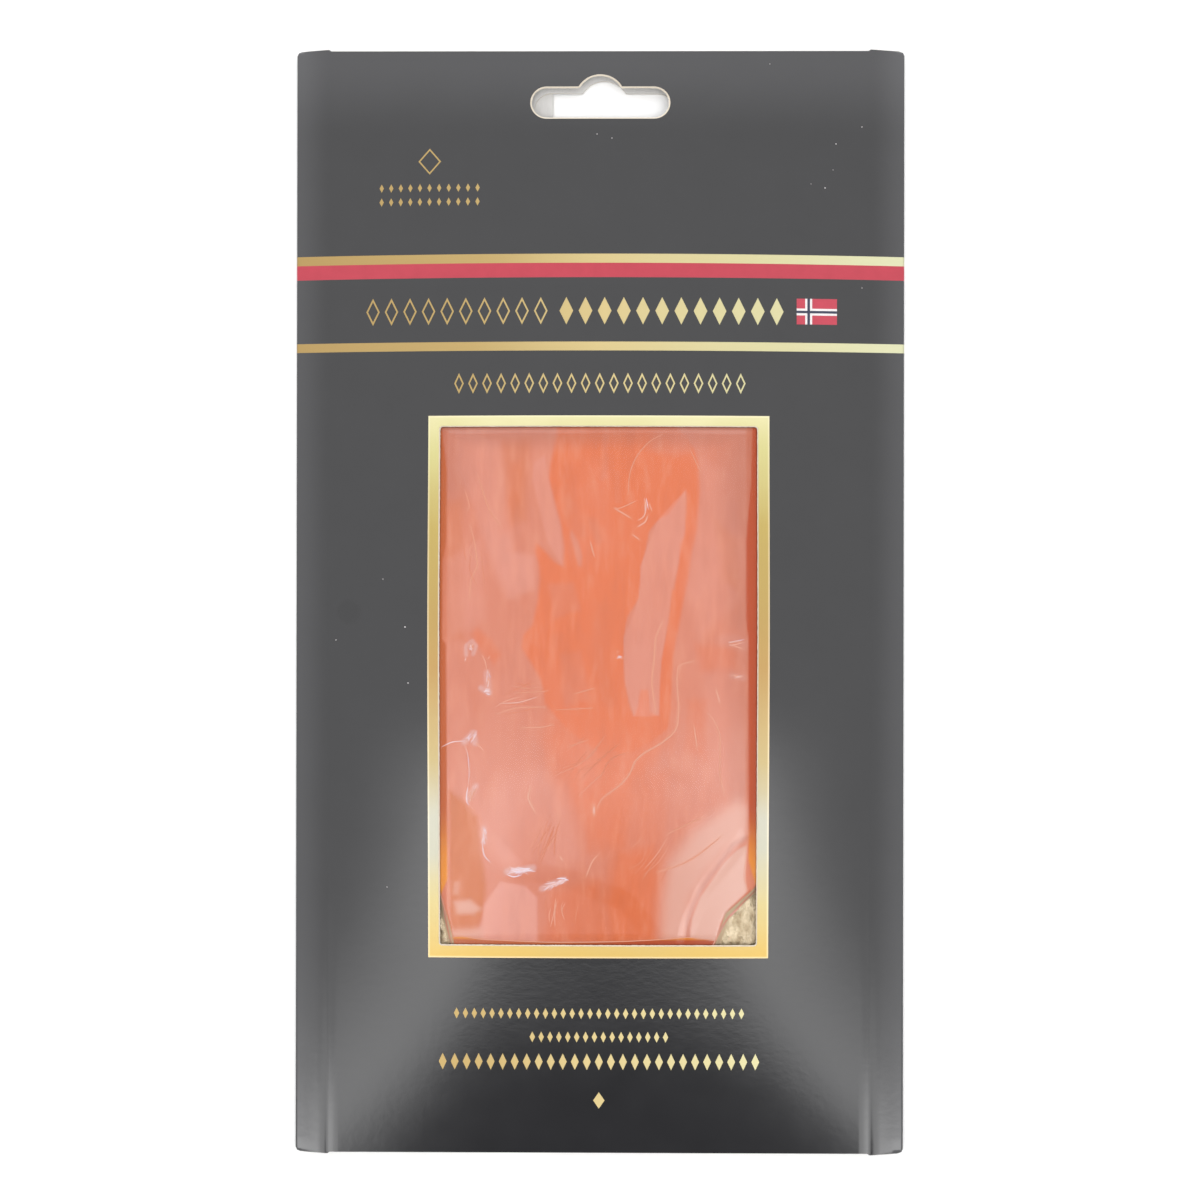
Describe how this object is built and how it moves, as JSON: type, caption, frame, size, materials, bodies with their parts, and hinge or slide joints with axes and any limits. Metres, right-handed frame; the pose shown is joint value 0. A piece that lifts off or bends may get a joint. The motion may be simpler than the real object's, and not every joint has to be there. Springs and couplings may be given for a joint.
{
  "type": "pack of smoked salmon",
  "caption": "Flat dark card sleeve with a hang slot, stripes and a gold-framed window, round a clear sealed pouch of sliced smoked salmon on a gold board; it lies on its back.",
  "frame": {"origin": "under the middle of the pack, on the surface that its back lies on", "axes": "+X to the pack's right seen from the front, +Y along its length towards the hang slot, +Z out of the front"},
  "size_m": [0.1394, 0.2528, 0.0085],
  "materials": {
    "dark_card": "printed charcoal card with a satin, slightly pebbled varnish and white cut edges",
    "salmon": "sliced smoked salmon, pink to orange, seen through a clear tight film",
    "gold_foil": "smooth pale gold hot foil",
    "clear_film": "clear glossy film with small wrinkles",
    "gold_board": "crinkled gold laminate on board"
  },
  "bodies": {
    "root": {"sleeve": "dark_card", "pouch": "salmon"}
  },
  "joints": []
}
